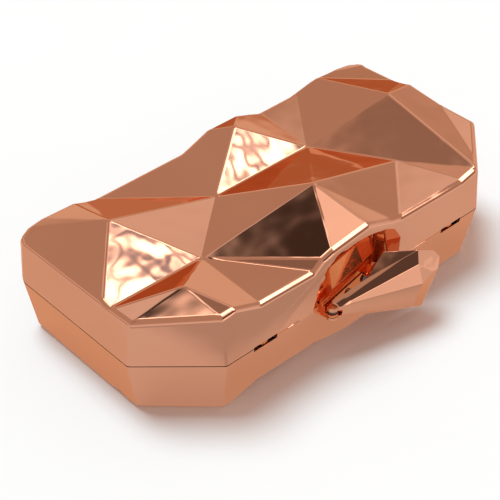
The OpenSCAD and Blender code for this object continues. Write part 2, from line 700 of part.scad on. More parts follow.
// A bar along the case with a rounded rear or front edge, as seen from the side
module catch_bar(y0, y1, z, r, tip) {
    translate([catch_x - catch_l / 2, min(y0, y1), z - r]) cube([catch_l, abs(y1 - y0), 2 * r]);
    translate([catch_x - catch_l / 2, tip, z]) rotate([0, 90, 0]) cylinder(h = catch_l, r = r, $fn = round_fn);
}

bead_z = strike_z + strike_h / 2;
bead_y = bead_r - half_w - bead_out;
nose_y = bead_y - bead_r - catch_gap - nose_r;
nose_z = bead_z + bead_r + nose_r;
nose_root = 3;

// The lever's neck is a fork: its two ears hold the pin, with the knuckle between them
module clasp_lever() {
    fork_r = clasp_knuckle_r + ear_gap;
    color(rose) difference() {
        union() {
            over_seam() lever_hull(concat(neck_shares, [bend_share, crest_share], head_shares, back_shares));
            over_seam() lever_hull(concat([bend_share, wing_share, crest_share], back_shares));
            over_seam() catch_bar(nose_y - nose_root, nose_y, nose_z, nose_r, nose_y);
            under_seam() post(pivot, clasp_knuckle_r, ear_drop - ear_gap, ear_drop + ear_h);
            under_seam() post(pivot, clasp_knuckle_r, ear_foot - ear_h, ear_foot);
        }
        under_seam() {
            post(pivot, clasp_pin_r + pin_fit, ear_drop - pin_fit, ear_foot + overrun);
            post(pivot, fork_r, knuckle_top - ear_gap, knuckle_foot + ear_gap);
            translate([-pivot_x - fork_r, -case_w, knuckle_top - ear_gap])
                cube([2 * fork_r, case_w, clasp_knuckle_h + 2 * ear_gap]);
            post(pivot, rivet_head_r + ear_gap, ear_foot, lever_h);
        }
    }
}

// Strike plate: a ridged panel in the upper half of the pocket, with the bar and bead that the lever catches
module strike_plate() {
    color(rose_dark) over_seam() {
        on_pocket_back(-pivot_x - 2 * clasp_knuckle_r, [[0, strike_z], [-strike_t, strike_z],
            [-strike_t, strike_z + strike_h], [0, strike_z + strike_h]]);
        on_pocket_back(-pivot_x, [[0, bead_z], [-panel_edge_t, bead_z], [-ridge_t, ridge_z],
            [-panel_edge_t, panel_top], [0, panel_top]]);
        catch_bar(bead_y, back_y(catch_x - catch_l / 2) - strike_t / 2, bead_z, bead_r, bead_y);
    }
}

module strike_rivets() {
    color("silver") for (x = strike_rivet_places) {
        on_back(x, strike_rivet_z, rivet_r - rivet_fit, -wall_t, 0);
        on_back(x, strike_rivet_z, rivet_head_r, -wall_t - rivet_head_h, -wall_t);
    }
}

base_shell();
base_frame();
base_lining();
base_frame_screws();
closing_buffers();
left_hinge_base_leaf();
right_hinge_base_leaf();
base_hinge_rivets();
left_hinge_pin();
right_hinge_pin();
clasp_plate();
clasp_plate_rivets();
clasp_pin();
clasp_spring();
left_strap_eye();
right_strap_eye();
strap_eye_rivets();
clasp_lever();
lid_shell();
lid_frame();
lid_lining();
lid_frame_screws();
left_hinge_lid_leaf();
right_hinge_lid_leaf();
lid_hinge_rivets();
strike_plate();
strike_rivets();
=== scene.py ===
"""Look of the minaudiere: mirror rose-gold shells, crystal clasp lever, velvet trays and a plain studio."""

import json
import logging
import math
from dataclasses import dataclass, field
from enum import Enum

import bmesh
import bpy
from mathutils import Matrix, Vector
from mathutils.bvhtree import BVHTree

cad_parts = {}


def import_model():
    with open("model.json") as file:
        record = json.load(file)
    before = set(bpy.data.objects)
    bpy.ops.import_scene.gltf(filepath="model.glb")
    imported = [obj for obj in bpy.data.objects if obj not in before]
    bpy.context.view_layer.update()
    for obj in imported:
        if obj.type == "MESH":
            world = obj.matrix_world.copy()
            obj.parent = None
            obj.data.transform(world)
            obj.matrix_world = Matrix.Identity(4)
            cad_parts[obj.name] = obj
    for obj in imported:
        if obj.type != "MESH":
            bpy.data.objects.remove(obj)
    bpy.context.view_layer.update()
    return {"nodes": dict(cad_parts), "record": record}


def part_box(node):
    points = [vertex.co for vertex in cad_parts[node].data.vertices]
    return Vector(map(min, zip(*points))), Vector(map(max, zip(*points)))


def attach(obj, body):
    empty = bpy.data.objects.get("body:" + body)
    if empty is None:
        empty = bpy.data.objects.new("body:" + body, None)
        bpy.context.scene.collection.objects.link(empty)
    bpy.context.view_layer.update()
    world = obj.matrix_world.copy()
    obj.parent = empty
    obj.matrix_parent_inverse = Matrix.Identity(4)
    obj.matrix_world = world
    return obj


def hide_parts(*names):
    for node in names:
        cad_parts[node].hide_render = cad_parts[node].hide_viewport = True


LOG = logging.getLogger("minaudiere")
MM = 0.001

Settings = dict[str, object] | None
Inputs = dict[str | int, object] | None
Stretch = tuple[float, float, float] | None
Reach = tuple[float, float]
Nodes = dict[str, bpy.types.Object]


class Tone(Enum):
    """Colours of the finishes, as linear red, green and blue."""

    ROSE = (0.76, 0.345, 0.212)
    ROSE_PALE = (0.78, 0.362, 0.226)
    ROSE_EDGE = (1.0, 0.66, 0.48)
    # Tone of the cast plates; its deep orange is partly painted reflection of light bouncing in the finger pocket.
    CAST_AND_POCKET_REFLECTION = (0.86, 0.27, 0.10)
    CAST_DEEP = (0.80, 0.22, 0.07)
    FRAME = (0.74, 0.42, 0.26)
    FRAME_DEEP = (0.60, 0.32, 0.19)
    STEEL = (0.20, 0.13, 0.11)
    STEEL_DEEP = (0.13, 0.085, 0.07)
    VELVET = (0.022, 0.013, 0.014)
    VELVET_PALE = (0.034, 0.021, 0.022)
    RUBBER = (0.02, 0.02, 0.02)
    RUBBER_PALE = (0.04, 0.04, 0.04)
    FLOOR = (0.885, 0.885, 0.885)
    FLOOR_PALE = (0.895, 0.895, 0.895)
    WHITE = (1.0, 1.0, 1.0)
    WARM_SHADE = (1.0, 0.72, 0.62)
    COOL_LIGHT = (0.786, 1.0, 1.069)
    EMBER = (1.0, 0.50, 0.30)
    ROOM = (1.0, 0.87, 0.79)
    MAUVE = (0.70, 0.92, 1.35)


def shade(tone: Tone, level: float = 1.0) -> tuple[float, float, float, float]:
    """Gives a tone at a level, with its alpha."""
    red, green, blue = (part * level for part in tone.value)
    return red, green, blue, 1.0


class Value:
    """A number that a node gives, which Python's operators turn into Math nodes."""

    def __init__(self, graph: "Graph", socket: bpy.types.NodeSocket) -> None:
        """Wraps a socket.

        Args:
            graph: The graph that the socket's node is in.
            socket: The output socket.
        """
        self.graph = graph
        self.socket = socket

    def _math(self, operation: str, first: object, second: object) -> "Value":
        """Adds a Math node.

        Args:
            operation: The node's operation.
            first: The first number or value.
            second: The second number or value.

        Returns:
            The node's result.
        """
        node = self.graph.node("ShaderNodeMath", {"operation": operation}, {0: first, 1: second})
        return Value(self.graph, node.outputs[0])

    def __add__(self, other: object) -> "Value":
        """Sum."""
        return self._math("ADD", self, other)

    __radd__ = __add__

    def __sub__(self, other: object) -> "Value":
        """Difference."""
        return self._math("SUBTRACT", self, other)

    def __rsub__(self, other: object) -> "Value":
        """Difference from another number."""
        return self._math("SUBTRACT", other, self)

    def __mul__(self, other: object) -> "Value":
        """Product."""
        return self._math("MULTIPLY", self, other)

    __rmul__ = __mul__

    def at_least(self, other: object) -> "Value":
        """The larger of two values."""
        return self._math("MAXIMUM", self, other)

    def ramp(self, low: float, high: float) -> "Value":
        """A smooth step.

        Args:
            low: The value at which the step is 0.
            high: The value at which the step is 1.

        Returns:
            A value from 0 to 1.
        """
        node = self.graph.node(
            "ShaderNodeMapRange",
            {"interpolation_type": "SMOOTHSTEP"},
            {"Value": self, "From Min": low, "From Max": high},
        )
        return Value(self.graph, node.outputs["Result"])


class Graph:
    """Nodes of one material or of the world."""

    def __init__(self, tree: bpy.types.NodeTree) -> None:
        """Empties a node tree.

        Args:
            tree: The tree to build in.
        """
        tree.nodes.clear()
        self.tree = tree

    def node(self, kind: str, settings: Settings = None, inputs: Inputs = None) -> bpy.types.Node:
        """Adds a node.

        Args:
            kind: The node's type.
            settings: Values of the node itself, which are set first.
            inputs: Numbers, colours, values or sockets for its inputs.

        Returns:
            The new node.
        """
        made = self.tree.nodes.new(kind)
        for name, value in (settings or {}).items():
            setattr(made, name, value)
        for name, value in (inputs or {}).items():
            if isinstance(value, Value):
                value = value.socket
            if isinstance(value, bpy.types.NodeSocket):
                self.tree.links.new(value, made.inputs[name])
            else:
                made.inputs[name].default_value = value
        return made

    def place(self) -> bpy.types.NodeSocket:
        """The place on the piece, in metres."""
        return self.node("ShaderNodeTexCoord").outputs["Object"]

    def noise(self, scale: float, detail: float = 2.0, stretch: Stretch = None) -> Value:
        """Noise over the piece.

        Args:
            scale: Waves for each metre.
            detail: Octaves of finer noise.
            stretch: Scale along each axis, or none for an even noise.

        Returns:
            The noise, from 0 to 1.
        """
        place = self.place()
        if stretch:
            place = self.node("ShaderNodeMapping", None, {"Vector": place, "Scale": stretch}).outputs[0]
        node = self.node("ShaderNodeTexNoise", None, {"Vector": place, "Scale": scale, "Detail": detail})
        return Value(self, node.outputs["Fac"])

    def blend(self, factor: Value, first: object, second: object) -> bpy.types.NodeSocket:
        """Mixes two colours.

        Args:
            factor: How much of the second colour shows.
            first: The colour at 0, as four numbers or a socket.
            second: The colour at 1, as four numbers or a socket.

        Returns:
            The mixed colour.
        """
        inputs = {"Factor": factor, 6: first, 7: second}
        return self.node("ShaderNodeMix", {"data_type": "RGBA"}, inputs).outputs[2]

    def relief(self, height: Value, distance: float, strength: float) -> bpy.types.NodeSocket:
        """Turns a height into a normal.

        Args:
            height: The height, from 0 to 1.
            distance: The height of 1, in metres.
            strength: How much of it shows.

        Returns:
            The bumped normal.
        """
        inputs = {"Height": height, "Distance": distance, "Strength": strength}
        return self.node("ShaderNodeBump", None, inputs).outputs[0]


@dataclass(frozen=True)
class Finish:
    """One finish: two tones that drift into each other, a gloss and a fine relief."""

    name: str
    tone: Tone
    drift_tone: Tone
    drift_scale: float
    metallic: float
    roughness: float
    roughness_drift: float
    relief_scale: float
    relief_height: float
    relief_strength: float
    relief_detail: float = 2.0
    relief_stretch: Stretch = None
    sheen: float = 0.0
    edge_tone: Tone = Tone.WHITE
    drift_reach: Reach = (0.35, 0.65)

    def material(self) -> bpy.types.Material:
        """Builds the finish as a material.

        Returns:
            The material.
        """
        made = bpy.data.materials.new(self.name)
        made.use_nodes = True
        graph = Graph(made.node_tree)
        drift = graph.noise(self.drift_scale)
        drifted = drift.ramp(*self.drift_reach)
        height = graph.noise(self.relief_scale, self.relief_detail, self.relief_stretch)
        shader = graph.node(
            "ShaderNodeBsdfPrincipled",
            None,
            {
                "Base Color": graph.blend(drifted, shade(self.tone), shade(self.drift_tone)),
                "Metallic": self.metallic,
                "Roughness": drift * self.roughness_drift + self.roughness,
                "Normal": graph.relief(height, self.relief_height, self.relief_strength),
                "Sheen Weight": self.sheen,
                "Specular Tint": shade(self.edge_tone),
            },
        )
        graph.node("ShaderNodeOutputMaterial", None, {"Surface": shader.outputs[0]})
        return made


MIRROR = Finish(
    name="mirror_rose_gold",
    tone=Tone.ROSE,
    drift_tone=Tone.ROSE_PALE,
    drift_scale=18,
    metallic=1.0,
    roughness=0.035,
    roughness_drift=0.02,
    relief_scale=34,
    relief_height=0.6 * MM,
    relief_strength=0.8,
    edge_tone=Tone.ROSE_EDGE,
)
CRYSTAL = Finish(
    name="crystal_rose_gold",
    tone=Tone.ROSE,
    drift_tone=Tone.ROSE_PALE,
    drift_scale=30,
    metallic=1.0,
    roughness=0.04,
    roughness_drift=0.02,
    relief_scale=60,
    relief_height=0.4 * MM,
    relief_strength=0.7,
    edge_tone=Tone.ROSE_EDGE,
)
# The plates' cast finish, also put on the pocket walls as painted reflection of light bouncing in the recess.
CAST_AND_POCKET_REFLECTION = Finish(
    name="cast_rose_gold_and_pocket_reflection",
    tone=Tone.CAST_AND_POCKET_REFLECTION,
    drift_tone=Tone.CAST_DEEP,
    drift_scale=30,
    metallic=0.78,
    roughness=0.06,
    roughness_drift=0.04,
    relief_scale=160,
    relief_height=0.2 * MM,
    relief_strength=0.3,
    edge_tone=Tone.ROSE_EDGE,
)
SATIN = Finish(
    name="satin_frame",
    tone=Tone.FRAME,
    drift_tone=Tone.FRAME_DEEP,
    drift_scale=40,
    metallic=1.0,
    roughness=0.26,
    roughness_drift=0.1,
    relief_scale=900,
    relief_height=0.02 * MM,
    relief_strength=0.4,
    relief_detail=3,
    relief_stretch=(0.1, 1.0, 1.0),
)
STEEL = Finish(
    name="bronzed_steel",
    tone=Tone.STEEL,
    drift_tone=Tone.STEEL_DEEP,
    drift_scale=120,
    metallic=1.0,
    roughness=0.24,
    roughness_drift=0.12,
    relief_scale=2400,
    relief_height=0.01 * MM,
    relief_strength=0.4,
)
VELVET = Finish(
    name="short_velvet",
    tone=Tone.VELVET,
    drift_tone=Tone.VELVET_PALE,
    drift_scale=90,
    metallic=0.0,
    roughness=0.9,
    roughness_drift=0.08,
    relief_scale=2600,
    relief_height=0.15 * MM,
    relief_strength=0.6,
    relief_detail=3,
    sheen=0.35,
)
RUBBER = Finish(
    name="soft_rubber",
    tone=Tone.RUBBER,
    drift_tone=Tone.RUBBER_PALE,
    drift_scale=400,
    metallic=0.0,
    roughness=0.6,
    roughness_drift=0.1,
    relief_scale=1500,
    relief_height=0.03 * MM,
    relief_strength=0.4,
)


def dress(piece: bpy.types.Object, finish: bpy.types.Material) -> None:
    """Gives a piece one material.

    Args:
        piece: The piece.
        finish: Its material.
    """
    piece.data.materials.clear()
    piece.data.materials.append(finish)


@dataclass
class SoftenedNode:
    """A CAD node with its sharp edges rounded, as polishing and plating leave them.

    Faces within the flat angle of each other are joined first. An edge is then rounded where it turns by more than
    the least angle, if each edge at its two corners is longer than the room, which is counted in widths.
    """

    node: str
    body: str
    slot: str
    width: float
    steps: int = 2
    least_angle: float = 12.0
    room: float = 4.0
    smooth_angle: float = 30.0
    flat_angle: float = 0.6
    merge_reach: float = 0.002 * MM
    flat_weight: int = 50

    def _ridges(self, mesh: bmesh.types.BMesh) -> list[bmesh.types.BMEdge]:
        """Picks the edges to round.

        Args:
            mesh: The piece's mesh.

        Returns:
            The edges that turn by more than the least angle.
        """
        least = math.radians(self.least_angle)
        return [edge for edge in mesh.edges if len(edge.link_faces) == 2 and edge.calc_face_angle() > least]

    def _round(self, mesh: bmesh.types.BMesh, edges: list[bmesh.types.BMEdge], width: float) -> None:
        """Rounds edges.

        Args:
            mesh: The piece's mesh.
            edges: The edges to round.
            width: The distance across the rounding.
        """
        bmesh.ops.bevel(
            mesh,
            geom=edges,
            offset=width,
            offset_type="WIDTH",
            segments=self.steps,
            profile=0.5,
            affect="EDGES",
            clamp_overlap=False,
            material=-1,
            miter_outer="SHARP",
        )
        mesh.normal_update()

    def _merge(self, mesh: bmesh.types.BMesh) -> None:
        """Joins the loose triangles into flat faces.

        Args:
            mesh: The piece's mesh.
        """
        bmesh.ops.remove_doubles(mesh, verts=mesh.verts, dist=self.merge_reach)
        mesh.normal_update()
        self._mark(mesh)
        limit = math.radians(self.flat_angle)
        bmesh.ops.dissolve_limit(mesh, angle_limit=limit, verts=mesh.verts, edges=mesh.edges)
        mesh.normal_update()

    def _mark(self, mesh: bmesh.types.BMesh) -> None:
        """Marks faces before they are joined, which a plain piece has no need of."""

    def _soften(self, mesh: bmesh.types.BMesh) -> None:
        """Rounds the piece's edges, where the corners at both ends have room for it.

        Args:
            mesh: The piece's mesh.
        """
        ridges = self._ridges(mesh)
        least = self.room * self.width
        roomy = {vert for vert in mesh.verts if min(edge.calc_length() for edge in vert.link_edges) > least}
        self._round(mesh, [edge for edge in ridges if roomy.issuperset(edge.verts)], self.width)

    def _polish(self, piece: bpy.types.Object) -> None:
        """Rounds what the whole piece's modifiers round, which is nothing on a plain piece."""

    def build(self) -> bpy.types.Object:
        """Copies the node's mesh, merges it and rounds its edges.

        Returns:
            The piece that stands for the node.
        """
        mesh = bmesh.new()
        mesh.from_mesh(bpy.data.objects[self.node].data)
        self._merge(mesh)
        self._soften(mesh)
        for face in mesh.faces:
            face.smooth = True
        data = bpy.data.meshes.new(self.node + "_polished")
        mesh.to_mesh(data)
        mesh.free()
        piece = bpy.data.objects.new(self.node + "_polished", data)
        bpy.context.scene.collection.objects.link(piece)
        self._polish(piece)
        piece.data.set_sharp_from_angle(angle=math.radians(self.smooth_angle))
        weighted = piece.modifiers.new("even_shading", "WEIGHTED_NORMAL")
        weighted.keep_sharp = True
        weighted.use_face_influence = True
        weighted.weight = self.flat_weight
        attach(piece, self.body)
        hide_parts(self.node)
        return piece


@dataclass
class SoftenedShell(SoftenedNode):
    """A faceted shell, rounded on its outside and round the finger pocket.

    The rim between the relief and the walls gets the rim width, the ridges of the relief get the plain width, and
    the pocket's sharp edges get a share of the rim width. The tight corner is the x and y past which the rim has no
    room for more than the plain width. The facing values are limits for the y and z of a face's normal, which leave
    the flat front and the level faces round the pocket in the shell's own finish; the other pocket walls get the
    deeper finish as painted reflection of the light that bounces in the recess.
    """

    least_angle: float = 1.5
    smooth_angle: float = 62.0
    seam: float = 0.0
    seam_reach: float = 8 * MM
    seam_band: float = 1 * MM
    weld: float = 1.9 * MM
    lift: float = 0.05 * MM
    rim_width: float = 0.0
    wall_slope: float = 0.3
    rim_slope: float = 0.4
    tight_corner: tuple[float, float] = (40 * MM, 30 * MM)
    pocket_half: float = 26 * MM
    pocket_front: float = -44 * MM
    pocket_back: float = -36 * MM
    pocket_rise: float = 14 * MM
    pocket_share: float = 0.15
    facing_front: float = -0.97
    facing_back: float = 0.3
    facing_level: float = 0.999

    def _mark(self, mesh: bmesh.types.BMesh) -> None:
        """Marks the faces that look away from the shell's hollow, in the layer named outer.

        Args:
            mesh: The shell's loose triangles, merged.
        """
        layer = mesh.faces.layers.int.new("outer")
        tree = BVHTree.FromBMesh(mesh)
        low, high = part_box(self.node)
        side = 1 if low.z + high.z > 2 * self.seam else -1
        for face in mesh.faces:
            centre = face.calc_center_median()
            free = tree.ray_cast(centre + face.normal * self.lift, face.normal)[0] is None
            steep = abs(face.normal.z) < self.wall_slope
            out = face.normal.xy.dot(centre.xy) if steep else face.normal.z * side
            face[layer] = int(free and out > 0)

    def _weld_corners(self, mesh: bmesh.types.BMesh, layer: bmesh.types.BMLayerItem) -> None:
        """Joins rim corners that lie closer together than the rounding needs.

        Args:
            mesh: The shell's mesh.
            layer: The mark of the outer faces.
        """
        short = [
            edge
            for edge in mesh.edges
            if edge.calc_length() < self.weld
            and all(abs(vert.co.z - self.seam) > self.seam_reach for vert in edge.verts)
            and all(any(face[layer] for face in vert.link_faces) for vert in edge.verts)
        ]
        bmesh.ops.collapse(mesh, edges=short)
        mesh.normal_update()

    def _on_seam(self, edge: bmesh.types.BMEdge) -> bool:
        """Tells whether an edge runs along the seam."""
        return all(abs(vert.co.z - self.seam) < self.seam_band for vert in edge.verts)

    def _near_pocket(self, place: Vector) -> bool:
        """Tells whether a place is in the finger pocket or on its rim."""
        x, y, z = place
        return abs(x) < self.pocket_half and y < self.pocket_back and abs(z - self.seam) < self.pocket_rise

    def _pocket_turn(self, edge: bmesh.types.BMEdge) -> float:
        """The angle of an edge in the pocket, or a half turn for an edge elsewhere."""
        return edge.calc_face_angle() if all(self._near_pocket(vert.co) for vert in edge.verts) else math.pi

    def _ridges(self, mesh: bmesh.types.BMesh) -> list[bmesh.types.BMEdge]:
        """Picks the outer edges, without those of the seam and the pocket's flatter ones.

        Args:
            mesh: The shell's mesh.

        Returns:
            The edges to round.
        """
        layer = mesh.faces.layers.int["outer"]
        sharp = super()._ridges(mesh)
        least = math.radians(self.smooth_angle)
        return [
            edge
            for edge in sharp
            if all(face[layer] for face in edge.link_faces)
            and not self._on_seam(edge)
            and self._pocket_turn(edge) > least
        ]

    def _reach(self, edge: bmesh.types.BMEdge) -> float:
        """Gives the share of the widest rounding that an outer edge gets.

        Args:
            edge: The edge.

        Returns:
            1 on the rim between the relief and a wall, and less on the ridges and in the tight back corner.
        """
        if self._pocket_turn(edge) < math.pi:
            return self.pocket_share
        low, high = sorted(abs(face.normal.z) for face in edge.link_faces)
        x, y = self.tight_corner
        tight = all(vert.co.x > x and vert.co.y > y for vert in edge.verts)
        wide = low < self.wall_slope and high > self.rim_slope and not tight
        return 1.0 if wide else self.width / max(self.width, self.rim_width)

    def _soften(self, mesh: bmesh.types.BMesh) -> None:
        """Joins cramped corners and notes how far the outer edges are to be rounded.

        Args:
            mesh: The shell's mesh.
        """
        self._weld_corners(mesh, mesh.faces.layers.int["outer"])
        weight = mesh.edges.layers.float.new("bevel_weight_edge")
        for edge in self._ridges(mesh):
            edge[weight] = self._reach(edge)

    def _polish(self, piece: bpy.types.Object) -> None:
        """Rounds the outer edges by their shares.

        Args:
            piece: The shell's new piece.
        """
        rounding = piece.modifiers.new("rounded_edges", "BEVEL")
        rounding.limit_method = "WEIGHT"
        rounding.offset_type = "WIDTH"
        rounding.width = max(self.width, self.rim_width)
        rounding.segments = self.steps
        rounding.profile = 0.5
        rounding.use_clamp_overlap = False
        rounding.miter_outer = "MITER_SHARP"
        rounding.face_strength_mode = "FSTR_AFFECTED"
        graph = bpy.context.evaluated_depsgraph_get()
        data = bpy.data.meshes.new_from_object(piece.evaluated_get(graph))
        piece.modifiers.clear()
        piece.data = data

    def paint_pocket_reflection(self, piece: bpy.types.Object, finish: bpy.types.Material) -> None:
        """Gives the walls of the finger pocket a deeper finish, as painted reflection: its saturated orange stands
        in for the light that bounces inside the recess.

        Args:
            piece: The dressed shell.
            finish: The pocket's finish, whose deeper orange is painted reflection.
        """
        piece.data.materials.append(finish)
        for face in piece.data.polygons:
            turn = face.normal
            deep = turn.y > self.facing_front or face.center.y > self.pocket_front
            leaning = turn.y < self.facing_back and abs(turn.z) < self.facing_level
            if self._near_pocket(face.center) and deep and leaning:
                face.material_index = 1


@dataclass
class Shells:
    """The two faceted shells."""

    seam: float
    lid_width: float = 1.6 * MM
    lid_rim: float = 3.6 * MM
    base_width: float = 1.2 * MM

    def build(self, finish: bpy.types.Material, pocket: bpy.types.Material) -> list[bpy.types.Object]:
        """Rounds and dresses both shells.

        Args:
            finish: The mirror finish.
            pocket: The finish of the finger pocket's walls, whose deeper orange is painted reflection of light
                bouncing in the recess.

        Returns:
            The pieces.
        """
        made = []
        for node, body, width, rim in (
            ("lid_shell", "lid", self.lid_width, self.lid_rim),
            ("base_shell", "base", self.base_width, self.base_width),
        ):
            shell = SoftenedShell(node, body, "rose_shell", width, seam=self.seam, rim_width=rim)
            piece = shell.build()
            dress(piece, finish)
            shell.paint_pocket_reflection(piece, pocket)
            made.append(piece)
        return made


@dataclass
class CrystalNode(SoftenedNode):
    """The crystal-shaped lever, rounded from its cramped root onwards and not on its hidden back."""

    root: float = -11 * MM
    back: float = -52 * MM
    slack: float = 0.01 * MM

    def _ridges(self, mesh: bmesh.types.BMesh) -> list[bmesh.types.BMEdge]:
        """Cuts the faces at the root and picks the crystal's edges beyond it.

        Args:
            mesh: The lever's mesh.

        Returns:
            The edges to round.
        """
        parts = mesh.verts[:] + mesh.edges[:] + mesh.faces[:]
        bmesh.ops.bisect_plane(mesh, geom=parts, plane_co=(self.root, 0, 0), plane_no=(1, 0, 0))
        return [
            edge
            for edge in super()._ridges(mesh)
            if min(vert.co.x for vert in edge.verts) > self.root - self.slack
            and min(vert.co.y for vert in edge.verts) < self.back
        ]


@dataclass
class Clasp:
    """The crystal lever with its plates."""

    lever_width: float = 0.4 * MM
    lever_room: float = 1.5
    lever_angle: float = 6.0
    crisp_angle: float = 14.0
    plate_width: float = 0.3 * MM
    plate_angle: float = 14.0

    def build(self, crystal: bpy.types.Material, cast: bpy.types.Material) -> list[bpy.types.Object]:
        """Rounds and dresses the lever and its plates.

        Args:
            crystal: The lever's finish.
            cast: The plates' finish, whose deep orange is partly painted reflection.

        Returns:
            The pieces.
        """
        lever = CrystalNode(
            "clasp_lever",
            "lever",
            "rose_cast",
            self.lever_width,
            least_angle=self.lever_angle,
            room=self.lever_room,
            smooth_angle=self.crisp_angle,
        ).build()
        dress(lever, crystal)
        made = [lever]
        for node, body in (("strike_plate", "lid"), ("clasp_plate", "base")):
            plate = SoftenedNode(node, body, "rose_cast", self.plate_width, least_angle=self.plate_angle)
            piece = plate.build()
            dress(piece, cast)
            made.append(piece)
        return made


@dataclass
class Trays:
    """The velvet linings."""

    fold_width: float = 0.5 * MM
    fold_angle: float = 30.0

    def build(self, finish: bpy.types.Material) -> list[bpy.types.Object]:
        """Rounds and dresses both linings.

        Args:
            finish: The velvet.

        Returns:
            The pieces.
        """
        made = []
        for node, body in (("lid_lining", "lid"), ("base_lining", "base")):
            tray = SoftenedNode(node, body, "velvet", self.fold_width, least_angle=self.fold_angle)
            piece = tray.build()
            dress(piece, finish)
            made.append(piece)
        return made


@dataclass
class Fittings:
    """CAD nodes that keep their shape, by the record's material slot."""

    finishes: dict[str, Finish] = field(
        default_factory=lambda: {"frame_metal": SATIN, "steel": STEEL, "buffer": RUBBER, "rose_cast": CAST_AND_POCKET_REFLECTION}
    )

    def build(self, nodes: Nodes, subparts: list[dict[str, str]]) -> list[bpy.types.Object]:
        """Dresses the nodes that no new piece stands for.

        Args:
            nodes: The CAD nodes by name.
            subparts: The record's nodes with their slots.

        Returns:
            The dressed nodes.
        """
        materials = {slot: finish.material() for slot, finish in self.finishes.items()}
        made = []
        for part in subparts:
            piece = nodes[part["node"]]
            if piece.hide_render or part["material_slot"] not in materials:
                continue
            dress(piece, materials[part["material_slot"]])
            made.append(piece)
        return made


def direction(azimuth: float, elevation: float) -> Vector:
    """Turns two angles into a direction.

    Args:
        azimuth: The angle from +Y towards +X, in degrees.
        elevation: The angle above the floor, in degrees.

    Returns:
        The direction, with a length of 1.
    """
    a, e = math.radians(azimuth), math.radians(elevation)
    return Vector((math.sin(a) * math.cos(e), math.cos(a) * math.cos(e), math.sin(e)))


@dataclass(frozen=True)
class Panel:
    """A round patch of studio light, or of dark, whose place, radius and soft edge are in degrees."""

    azimuth: float
    elevation: float
    radius: float
    soft: float
    level: float
    tone: Tone = Tone.WHITE

    def mask(self, graph: Graph, way: bpy.types.NodeSocket) -> Value:
        """Marks the directions that the panel covers.

        Args:
            graph: The world's nodes.
            way: The direction that is looked in.

        Returns:
            1 on the panel and 0 beside it.
        """
        inputs = {0: way, 1: direction(self.azimuth, self.elevation)}
        dot = graph.node("ShaderNodeVectorMath", {"operation": "DOT_PRODUCT"}, inputs)
        outer = math.cos(math.radians(self.radius + self.soft))
        inner = math.cos(math.radians(self.radius - self.soft))
        return Value(graph, dot.outputs["Value"]).ramp(outer, inner)


@dataclass
class Camera:
    """The camera, fitted to the photograph.

    The distance and the aim are in units, and the focal length is in the photograph's pixels.
    """

    target_height: float
    unit: float = 0.95 * MM
    azimuth: float = -42.66
    elevation: float = 39.11
    distance: float = 574.45
    aim: tuple[float, float] = (-10.64, -11.31)
    focal_pixels: float = 1353.97
    frame_pixels: float = 500.0
    sensor: float = 36.0
    nearest: float = 10 * MM

    def build(self) -> None:
        """Places the camera at the photograph's angle."""
        a, e = math.radians(self.azimuth), math.radians(self.elevation)
        back = Vector((math.sin(a) * math.cos(e), -math.cos(a) * math.cos(e), math.sin(e)))
        turn = back.to_track_quat("Z", "Y")
        right, up = turn @ Vector((1, 0, 0)), turn @ Vector((0, 1, 0))
        offset = (right * self.aim[0] + up * self.aim[1]) * self.unit
        target = offset + Vector((0, 0, self.target_height))
        data = bpy.data.cameras.new("camera")
        data.sensor_width = self.sensor
        data.lens = self.sensor * self.focal_pixels / self.frame_pixels
        data.clip_start = self.nearest
        made = bpy.data.objects.new("camera", data)
        made.location = target + back * self.distance * self.unit
        made.rotation_mode = "QUATERNION"
        made.rotation_quaternion = turn
        bpy.context.scene.collection.objects.link(made)
        bpy.context.scene.camera = made


